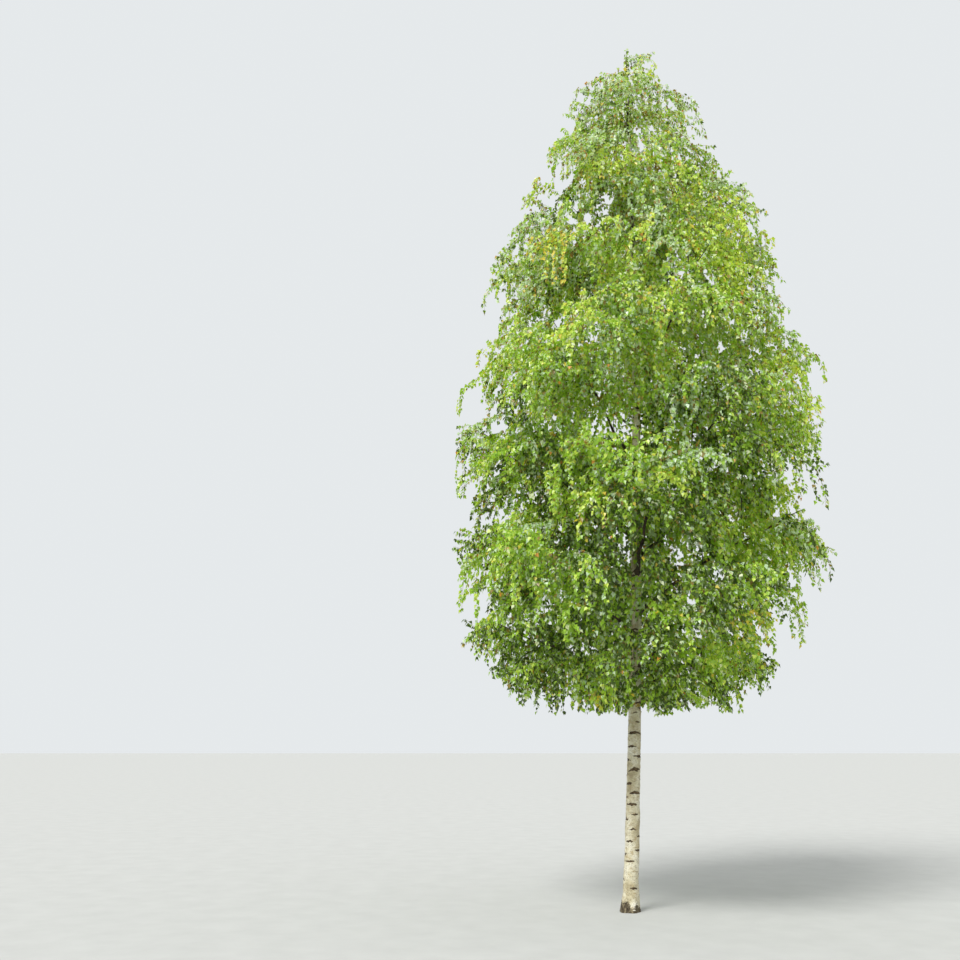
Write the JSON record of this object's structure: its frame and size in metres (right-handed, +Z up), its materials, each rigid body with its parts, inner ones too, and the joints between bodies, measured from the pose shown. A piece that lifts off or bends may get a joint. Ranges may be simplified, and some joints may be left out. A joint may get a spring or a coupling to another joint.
{
  "type": "silver birch tree",
  "caption": "Whole young silver birch: straight white stem bare to head height, spiral of dark rising boughs, and an ovoid crown of arching twigs with hanging leaves",
  "frame": {"origin": "Middle of the flat cut under the trunk, at ground level", "axes": "+Z up along the height, -Y towards the viewer of the picture, +X to the viewer's right, the side that the stem leans to"},
  "size_m": [3.8845, 3.9384, 10.0201],
  "materials": {
    "white_bark": "papery white bark with dark scars, matt",
    "dark_bark": "smooth dark brown young bark, satin",
    "leaves": "soft green summer leaves, slight sheen"
  },
  "bodies": {
    "root": {"trunk": "white_bark", "bough_01": "dark_bark", "bough_02": "dark_bark", "bough_03": "dark_bark", "bough_04": "dark_bark", "bough_05": "dark_bark", "bough_06": "dark_bark", "bough_07": "dark_bark", "bough_08": "dark_bark", "bough_09": "dark_bark", "bough_10": "dark_bark", "bough_11": "dark_bark", "bough_12": "dark_bark", "bough_13": "dark_bark", "bough_14": "dark_bark", "bough_15": "dark_bark", "bough_16": "dark_bark", "bough_17": "dark_bark", "bough_18": "dark_bark", "bough_19": "dark_bark", "bough_20": "dark_bark", "bough_21": "dark_bark", "bough_22": "dark_bark", "foliage_01": "leaves", "foliage_02": "leaves", "foliage_03": "leaves", "foliage_04": "leaves", "foliage_05": "leaves", "foliage_06": "leaves", "foliage_07": "leaves", "foliage_08": "leaves", "foliage_09": "leaves", "foliage_10": "leaves", "foliage_11": "leaves", "foliage_12": "leaves", "foliage_13": "leaves", "foliage_14": "leaves", "foliage_15": "leaves", "foliage_16": "leaves", "foliage_17": "leaves", "foliage_18": "leaves", "foliage_19": "leaves", "foliage_20": "leaves", "foliage_21": "leaves", "foliage_22": "leaves", "foliage_top": "leaves"}
  },
  "joints": []
}
